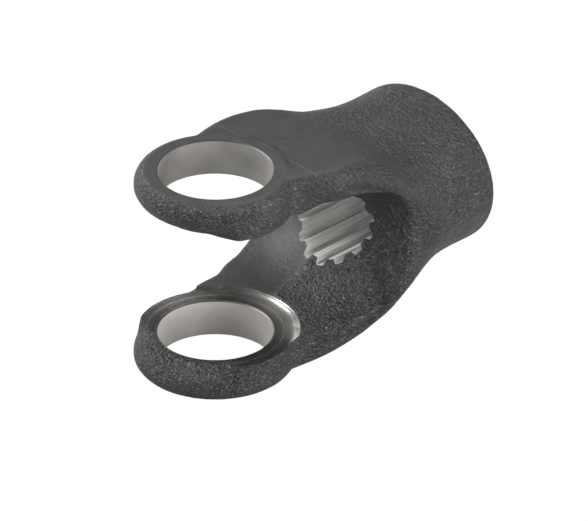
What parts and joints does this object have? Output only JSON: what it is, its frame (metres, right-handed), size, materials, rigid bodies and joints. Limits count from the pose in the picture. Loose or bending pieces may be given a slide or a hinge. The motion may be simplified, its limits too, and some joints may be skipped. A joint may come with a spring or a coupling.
{
  "type": "driveline yoke",
  "caption": "Forged fork yoke with a plain cross bore through two ears and a splined bore in an oval hub.",
  "frame": {"origin": "the point where the cross bore axis meets the hub axis, midway between the two ears", "axes": "+X along the hub axis from the ears to the hub end, +Z along the cross bore axis from the lower ear to the upper ear"},
  "size_m": [0.126, 0.0662, 0.074],
  "materials": {
    "forged_steel": "shot-blasted dark forging skin with bright machined bores, facings and spline"
  },
  "bodies": {
    "root": {"yoke": "forged_steel"}
  },
  "joints": []
}
